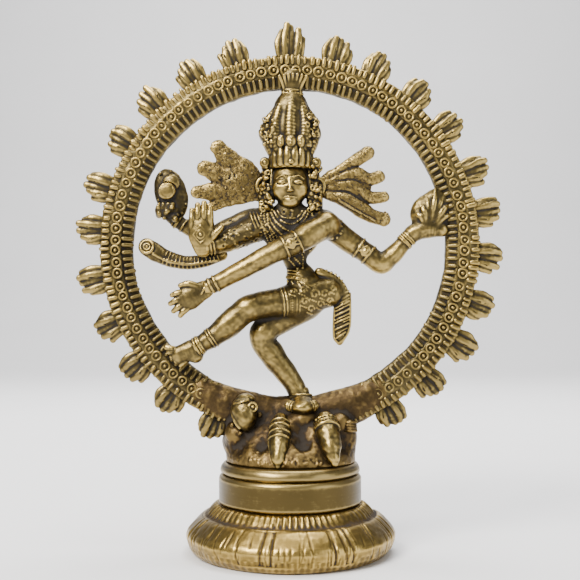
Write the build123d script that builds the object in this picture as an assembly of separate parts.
"""Brass nataraja statue: a four-armed dancer in a flaming hoop, on a hollow turned pedestal.

Row frame: millimetres, +Z up, origin on the ground under the middle of the pedestal.
The statue faces -Y, so +X is the viewer's right.
"""
from build123d import *
import os

# ---- driving dimensions ----
RING_CENTRE_Z = 83.5
RING_INNER_R = 43.0
RING_OUTER_R = 52.0
RIB_BAND = 3.4          # width of the sunk ribbed band inside the hoop
EDGE_BAND = 2.0         # width of the notched band outside the hoop
HOOP_FRONT = -2.9       # y of the hoop's proud middle band
HOOP_BACK = 2.4
HOOP_GAP_DEG = 10.0     # the hoop is open this far each side of its lowest point

FLAME_WIDTH = 7.2
FLAME_THICK = 2.4
FLAME_HEIGHT = 6.4
TOP_FLAME_HEIGHT = 8.7
LOW_FLAME_SHRINK = 2.4  # how much lower the lowest flames are
FLAME_SHRINK_FROM = 110.0
FLAMES_PER_SIDE = 11
FLAME_STEP_RIGHT = 13.5
FLAME_STEP_LEFT = 14.0
FLAME_START_LEFT = 2.5

SKIRT_FOOT_R = 26.5
SKIRT_RIM_R = 28.0
SKIRT_TOP_Z = 13.0
WALL = 2.6
DRUM_R = 19.3
DRUM_TOP_Z = 20.9
DRUM_INNER_R = 15.5
CAP_R = 18.9
CAP_TOP_Z = 24.0

SCREW_R = 2.45          # M5 shank
SCREW_HOLE_R = 2.65
TAPPED_R = 2.5
SCREW_REACH = 9.0       # how far the screw goes into the mound
SCREW_HEAD_R = 4.6
SCREW_HEAD_H = 3.0
SCREW_SLOT = 1.2
WASHER_R = 6.0
WASHER_T = 1.0

MOUND_TOP_Z = 39.2
NECK_TOP_Z = 92.7
FAN_THICK = 2.6
FLAME_WRIST = Plane(origin=(33.2, 0, 85.6), z_dir=(0.69, 0, 0.72))

made = {}


# ---- helpers ----
def fitted(shape, *neighbours):
    """The shape cut back to sit face to face against pieces that are already made."""
    for name in neighbours:
        shape = shape - made[name]
    return max(shape.solids(), key=lambda solid: solid.volume)


def limb(stations):
    """A round limb lofted through stations of (x, y, z, radius), flat at both ends."""
    points = [Vector(*station[:3]) for station in stations]
    sections = []
    for i, station in enumerate(stations):
        before, after = points[max(i - 1, 0)], points[min(i + 1, len(points) - 1)]
        square = Plane(origin=points[i], x_dir=(0, 1, 0), z_dir=(after - before).normalized())
        sections.append(square * Circle(station[3]))
    return loft(sections)


def stacked(stations):
    """An upright form lofted through ellipses, each (x, y, z, half width, half depth)."""
    return loft([Pos(x, y, z) * Ellipse(half_x, half_y) for x, y, z, half_x, half_y in stations])


def plate(outline, y_front, thick):
    """A flat plate standing in the XZ plane, from its (x, z) outline."""
    # Plane.XZ faces -Y, so a negative extrusion runs back from the front face.
    face = make_face(Polyline(*[(x, z) for x, z in outline], close=True))
    return extrude(Plane.XZ.offset(-y_front) * face, -thick)


def ball(x, y, z, half_x, half_y, half_z):
    """A smooth ellipsoid with the given half sizes."""
    return Pos(x, y, z) * scale(Sphere(1), by=(half_x, half_y, half_z))


def turned(outline):
    """A solid turned about Z from its (radius, height) outline wires."""
    return revolve(Plane.XZ * make_face(outline), Axis.Z)


# ---- pedestal ----
def foot_skirt():
    inner_foot, inner_rim, inner_top = SKIRT_FOOT_R - WALL, SKIRT_RIM_R - WALL, DRUM_INNER_R - 1.0
    rim_z, shoulder_r, shoulder_z = 3.6, 22.2, 10.8
    neck_r, ceiling_z = 20.6, SKIRT_TOP_Z - WALL
    outer = [
        Line((inner_foot, 0), (SKIRT_FOOT_R, 0)),
        ThreePointArc((SKIRT_FOOT_R, 0), (27.7, 1.4), (SKIRT_RIM_R, rim_z)),
        ThreePointArc((SKIRT_RIM_R, rim_z), (26.3, 7.9), (shoulder_r, shoulder_z)),
        Line((shoulder_r, shoulder_z), (neck_r, SKIRT_TOP_Z)),
        Line((neck_r, SKIRT_TOP_Z), (inner_top, SKIRT_TOP_Z)),
    ]
    inner = [
        Line((inner_top, SKIRT_TOP_Z), (inner_top, ceiling_z)),
        Line((inner_top, ceiling_z), (18.6, ceiling_z)),
        ThreePointArc((18.6, ceiling_z), (23.6, 7.0), (inner_rim, rim_z)),
        Line((inner_rim, rim_z), (inner_foot, 0)),
    ]
    return turned(Wire(outer + inner))


def drum_collar():
    bevel = 0.7
    drum = Pos(0, 0, SKIRT_TOP_Z) * Cylinder(
        DRUM_R, DRUM_TOP_Z - SKIRT_TOP_Z, align=(Align.CENTER, Align.CENTER, Align.MIN)
    )
    drum = chamfer(drum.edges().filter_by(GeomType.CIRCLE), bevel)
    return drum - Pos(0, 0, SKIRT_TOP_Z) * Cylinder(DRUM_INNER_R, 2 * DRUM_TOP_Z)


def cap_plate():
    groove_r, lip_z, inner_lip_r = 18.1, DRUM_TOP_Z + 0.7, 17.6
    outline = [
        Line((0, DRUM_TOP_Z), (groove_r, DRUM_TOP_Z)),
        Line((groove_r, DRUM_TOP_Z), (CAP_R, lip_z)),
        ThreePointArc((CAP_R, lip_z), (18.8, 23.2), (inner_lip_r, CAP_TOP_Z)),
        Line((inner_lip_r, CAP_TOP_Z), (0, CAP_TOP_Z)),
        Line((0, CAP_TOP_Z), (0, DRUM_TOP_Z)),
    ]
    return turned(Wire(outline)) - Pos(0, 0, DRUM_TOP_Z) * Cylinder(SCREW_HOLE_R, DRUM_TOP_Z)


def fixing_washer():
    middle_z = DRUM_TOP_Z - WASHER_T / 2
    return Pos(0, 0, middle_z) * (Cylinder(WASHER_R, WASHER_T) - Cylinder(SCREW_HOLE_R, WASHER_T))


def fixing_screw():
    head_z = DRUM_TOP_Z - WASHER_T - SCREW_HEAD_H
    shank = CAP_TOP_Z + SCREW_REACH - head_z
    base = (Align.CENTER, Align.CENTER, Align.MIN)
    head = fillet(Cylinder(SCREW_HEAD_R, SCREW_HEAD_H, align=base).edges().sort_by(Axis.Z)[0], 1.0)
    screw = head + Cylinder(SCREW_R, shank, align=base)
    return Pos(0, 0, head_z) * (screw - Box(2 * SCREW_HEAD_R, SCREW_SLOT, 2.4))


def rock_mound():
    mound = stacked([
        (0.4, -0.3, CAP_TOP_Z, 17.3, 15.2),
        (0.2, -0.3, 29.0, 16.4, 11.8),
        (0.2, -0.3, 34.0, 16.6, 7.8),
        (0.2, -0.3, MOUND_TOP_Z, 15.0, 5.2),
    ])
    tapped = Pos(0, 0, CAP_TOP_Z) * Cylinder(TAPPED_R, 2 * (SCREW_REACH + 1.0))
    return mound - tapped


# ---- the flaming hoop ----
def ring_hoop():
    rib_edge, edge_start = RING_INNER_R + RIB_BAND, RING_OUTER_R - EDGE_BAND
    section = Polyline(
        (RING_INNER_R, HOOP_BACK - 0.6), (RING_INNER_R, HOOP_FRONT + 1.4),
        (rib_edge, HOOP_FRONT + 0.9), (rib_edge, HOOP_FRONT),
        (edge_start, HOOP_FRONT), (RING_OUTER_R, HOOP_FRONT + 0.7),
        (RING_OUTER_R, HOOP_BACK - 0.4), (edge_start, HOOP_BACK), (rib_edge, HOOP_BACK),
        close=True,
    )
    # The section stands below the hoop's centre and swings round it, leaving the gap open.
    start = Plane(origin=(0, 0, RING_CENTRE_Z), x_dir=(0, 0, -1), z_dir=(1, 0, 0))
    hoop = revolve(start * make_face(section), Axis((0, 0, RING_CENTRE_Z), (0, 1, 0)), 360 - 2 * HOOP_GAP_DEG)
    hoop = hoop.rotate(Axis((0, 0, RING_CENTRE_Z), (0, 1, 0)), HOOP_GAP_DEG)
    return fitted(hoop, "rock_mound")


def flame_angles():
    """Every flame's angle clockwise from the top, in order from the top, right side first."""
    right = [FLAME_STEP_RIGHT * k for k in range(1, FLAMES_PER_SIDE + 1)]
    left = [-FLAME_START_LEFT - FLAME_STEP_LEFT * k for k in range(1, FLAMES_PER_SIDE + 1)]
    return [0.0] + right + left


def flame(angle):
    """One flame: a plate with three tongues, its foot on the hoop's outer edge."""
    height = TOP_FLAME_HEIGHT if angle == 0 else FLAME_HEIGHT
    low = max(0.0, abs(angle) - FLAME_SHRINK_FROM) / (180.0 - FLAME_SHRINK_FROM)
    height -= LOW_FLAME_SHRINK * low
    half = FLAME_WIDTH / 2
    tongues = [
        (-0.96 * half, -0.8), (-1.0 * half, 0.5 * height), (-0.6 * half, 0.86 * height),
        (-0.3 * half, 0.74 * height), (0.1 * half, height), (0.4 * half, 0.76 * height),
        (0.7 * half, 0.8 * height), (1.0 * half, 0.45 * height), (0.96 * half, -0.8),
    ]
    flat = plate([(u, RING_OUTER_R + v) for u, v in tongues], -FLAME_THICK / 2 - 0.4, FLAME_THICK)
    bore = Rot(90, 0, 0) * Cylinder(RING_OUTER_R, 20)
    standing = Pos(0, 0, RING_CENTRE_Z) * Rot(0, angle, 0) * (flat - bore)
    return standing.solids()[0]


def ring_crest():
    return fitted(stacked([(0.4, -0.4, 124.6, 3.1, 2.0), (0.8, -0.4, 127.4, 4.4, 2.4)]), "ring_hoop", "crown")


# ---- the dancer ----
def torso():
    return stacked([
        (0.6, 0, 74.0, 5.4, 3.3), (0.9, 0, 77.5, 4.1, 3.1), (0.5, 0, 82.0, 5.8, 3.7),
        (0, 0, 86.5, 8.6, 3.9), (0, 0, 89.8, 8.4, 3.2), (0, 0, NECK_TOP_Z, 3.2, 2.7),
    ])


def head():
    above_neck = Pos(0, 0, NECK_TOP_Z) * Box(20, 20, 20, align=(Align.CENTER, Align.CENTER, Align.MIN))
    return (ball(0, -1.2, 98.8, 5.5, 5.0, 6.4) & above_neck).solids()[0]


def crown():
    tower = stacked([
        (0.2, -0.2, 103.2, 5.9, 5.2), (0.3, -0.2, 108.6, 5.8, 4.8), (0, -0.2, 114.2, 7.8, 4.6),
        (0.2, -0.2, 119.6, 6.2, 3.8), (0.4, -0.3, 124.8, 3.2, 2.2),
    ])
    return fitted(tower, "head")


def ear_ornament(side):
    drop = ball(side * 8.0, -0.8, 98.2, 1.7, 1.8, 4.2) + ball(side * 7.2, -0.4, 104.6, 1.7, 1.6, 2.0)
    bridge = ball(side * 6.6, -0.2, 101.6, 1.8, 1.6, 2.6)
    return fitted(drop + bridge, "head", "crown", "torso")


def hair_fan_left():
    lobes = [
        (-9.4, 102.2), (-14.7, 106.6), (-18.4, 109.6), (-20.4, 110.8), (-22.0, 109.2),
        (-20.4, 105.2), (-23.4, 106.8), (-25.7, 105.2), (-25.2, 102.8), (-21.6, 98.9),
        (-26.4, 99.8), (-27.4, 97.8), (-24.4, 95.4), (-20.0, 93.3), (-14.6, 94.6), (-9.4, 95.0),
    ]
    return fitted(plate(lobes, -0.9, FAN_THICK), "ear_ornament_left", "crown", "head", "torso")


def hair_fan_right():
    strands = [
        (9.4, 102.2), (15.0, 106.0), (20.8, 110.4), (22.8, 108.7), (20.7, 104.8), (24.6, 104.3),
        (25.9, 101.2), (22.0, 99.4), (26.8, 98.0), (26.9, 95.3), (22.9, 94.3), (26.9, 91.2),
        (25.5, 88.6), (18.0, 91.8), (9.4, 95.0),
    ]
    return fitted(plate(strands, -0.9, FAN_THICK), "ear_ornament_right", "crown", "head", "torso")


def hip_cloth():
    shorts = limb([
        (12.6, -0.8, 70.4, 2.4), (9.6, -0.9, 70.2, 4.2), (5.0, -1.4, 69.2, 4.5), (0.0, -2.4, 67.3, 4.1),
    ])
    return fitted(shorts, "torso")


def leg_raised():
    return fitted(limb([
        (0.4, -2.4, 67.3, 4.0), (-6.6, -3.8, 66.4, 3.6), (-15.2, -4.6, 62.4, 3.2), (-25.0, -5.6, 55.3, 2.4),
    ]), "hip_cloth")


def foot_raised():
    ankle, toes = Vector(-25.0, -5.6, 55.3), Vector(-31.0, -5.4, 52.4)
    toe_line, sole_line = (0.7, 0, -0.7), Vector(-0.7, 0, -0.7)
    heel = Plane(origin=ankle, x_dir=toe_line, z_dir=(toes - ankle).normalized()) * Circle(2.4)
    tips = Plane(origin=toes, x_dir=toe_line, z_dir=sole_line.normalized()) * Ellipse(3.2, 1.2)
    return fitted(loft([heel, tips]), "ring_hoop", "leg_raised")


def leg_standing():
    shank = limb([
        (1.0, 0.6, 64.4, 3.9), (-6.6, 0.2, 58.4, 3.9), (-4.0, 0.3, 52.0, 3.1), (0.8, 0.2, 46.0, 2.8),
        (2.9, 0.0, 41.6, 3.1),
    ])
    return fitted(shank, "hip_cloth", "leg_raised", "torso")


def foot_standing():
    return fitted(stacked([(3.2, -1.6, 37.6, 4.4, 5.0), (3.0, -0.3, 41.8, 3.0, 3.0)]), "leg_standing", "rock_mound")


def sash_tail():
    return fitted(stacked([
        (13.4, 0, 55.6, 2.0, 1.3), (13.6, 0, 60.5, 2.6, 1.4), (13.7, 0, 66.0, 2.5, 1.5),
        (12.6, 0, 72.0, 2.2, 1.5),
    ]), "hip_cloth")


def arm_reaching():
    return fitted(limb([
        (9.4, -3.4, 87.6, 3.7), (0.9, -6.2, 82.9, 3.3), (-11.9, -7.2, 76.3, 2.7), (-22.2, -7.2, 70.8, 2.2),
    ]), "torso", "head", "ear_ornament_right")


def hand_reaching():
    wrist, knuckles, tips = (-22.2, -7.2, 70.8), (-26.9, -7.2, 68.0), (-31.0, -7.2, 65.6)
    along = (-0.87, 0, -0.49)
    sizes = [(wrist, 2.2, 2.2), (knuckles, 3.1, 1.5), (tips, 3.6, 0.7)]
    palm = loft([
        Plane(origin=place, x_dir=(0.49, 0, -0.87), z_dir=along) * Ellipse(width, depth)
        for place, width, depth in sizes
    ])
    return fitted(palm, "arm_reaching")


def arm_blessing():
    return fitted(limb([
        (-7.6, -0.6, 88.2, 4.3), (-14.4, -1.0, 85.6, 3.6), (-19.6, -1.4, 83.2, 2.6), (-22.4, -1.6, 81.8, 2.2),
    ]), "torso", "head", "ear_ornament_left")


def hand_blessing():
    outline = [
        (-27.0, 81.6), (-25.4, 79.6), (-22.6, 80.2), (-18.2, 86.4), (-18.9, 87.4), (-21.6, 85.6),
        (-20.9, 92.4), (-23.8, 94.0), (-26.4, 92.4), (-27.8, 86.6),
    ]
    return fitted(plate(outline, -5.4, 2.6), "arm_blessing")


def cobra_sleeve():
    return fitted(limb([
        (-19.0, -0.4, 79.4, 1.1), (-24.0, -0.6, 78.4, 1.5), (-30.0, -0.8, 78.6, 1.9), (-35.6, -1.0, 80.3, 2.6),
        (-39.0, -1.0, 82.0, 2.4),
    ]), "arm_blessing", "hand_blessing")


def arm_drum():
    return fitted(limb([
        (-9.0, 2.2, 90.2, 2.6), (-16.4, 2.4, 88.6, 2.6), (-22.4, 2.2, 85.4, 2.3), (-28.0, 1.6, 87.9, 2.0),
        (-32.6, 1.2, 91.2, 2.2),
    ]), "arm_blessing", "hand_blessing", "torso", "head", "ear_ornament_left", "hair_fan_left")


def hand_drum():
    return fitted(limb([
        (-35.2, 0.6, 89.8, 2.4), (-34.2, 0.6, 93.0, 4.0), (-32.6, 0.6, 98.0, 4.3), (-31.0, 0.6, 102.6, 2.8),
        (-30.6, 0.6, 104.0, 1.2),
    ]), "arm_drum")


def flame_limb():
    """The arm that holds the flame and the hand at its end, before the wrist divides them."""
    return limb([
        (8.0, 0.4, 88.8, 4.0), (14.0, 0.4, 85.4, 3.7), (20.8, 0.2, 81.0, 2.9), (25.2, 0.0, 78.8, 2.8),
        (28.4, 0.0, 80.4, 2.5), (33.2, 0.0, 85.6, 2.2), (36.4, -0.3, 89.0, 4.2), (38.0, -0.5, 93.2, 4.3),
        (38.4, -0.6, 98.0, 1.6),
    ])


def arm_flame():
    arm = split(flame_limb(), bisect_by=FLAME_WRIST, keep=Keep.BOTTOM)
    return fitted(arm, "torso", "arm_reaching", "ear_ornament_right", "hair_fan_right")


def hand_flame():
    return fitted(split(flame_limb(), bisect_by=FLAME_WRIST, keep=Keep.TOP), "ring_hoop")


# ---- the dwarf underfoot ----
def dwarf_head():
    return fitted(ball(-12.0, -4.4, 37.0, 3.5, 3.4, 5.0), "rock_mound", "ring_hoop")


def dwarf_forearm():
    return fitted(limb([
        (-2.6, -6.2, 35.0, 2.4), (-2.8, -10.2, 31.4, 3.0), (-3.0, -13.4, 27.6, 2.6), (-3.2, -15.0, 24.6, 1.2),
    ]), "rock_mound")


def dwarf_leg():
    return fitted(limb([
        (9.8, -6.4, 34.6, 2.4), (10.4, -9.8, 31.0, 3.0), (11.0, -12.0, 27.6, 2.2), (11.4, -13.0, 25.4, 1.5),
    ]), "rock_mound")


def dwarf_foot():
    return fitted(limb([(16.6, -2.0, 33.6, 2.1), (17.0, -5.6, 33.3, 1.7)]), "ring_hoop", "rock_mound")


# ---- assembly, in the order in which the pieces are seated ----
for maker in (foot_skirt, drum_collar, cap_plate, fixing_washer, rock_mound, fixing_screw, ring_hoop,
              torso, head, crown, ring_crest):
    made[maker.__name__] = maker()
made["ear_ornament_left"] = ear_ornament(-1)
made["ear_ornament_right"] = ear_ornament(1)
for maker in (hair_fan_left, hair_fan_right, hip_cloth, leg_raised, foot_raised, leg_standing, foot_standing,
              sash_tail, arm_reaching, hand_reaching, arm_blessing, hand_blessing, cobra_sleeve, arm_drum,
              hand_drum, arm_flame, hand_flame, dwarf_head, dwarf_forearm, dwarf_leg, dwarf_foot):
    made[maker.__name__] = maker()
for number, angle in enumerate(flame_angles(), start=1):
    made[f"flame_{number:02d}"] = flame(angle)

os.makedirs("parts", exist_ok=True)
for name, shape in made.items():
    export_step(shape, f"parts/{name}.step")
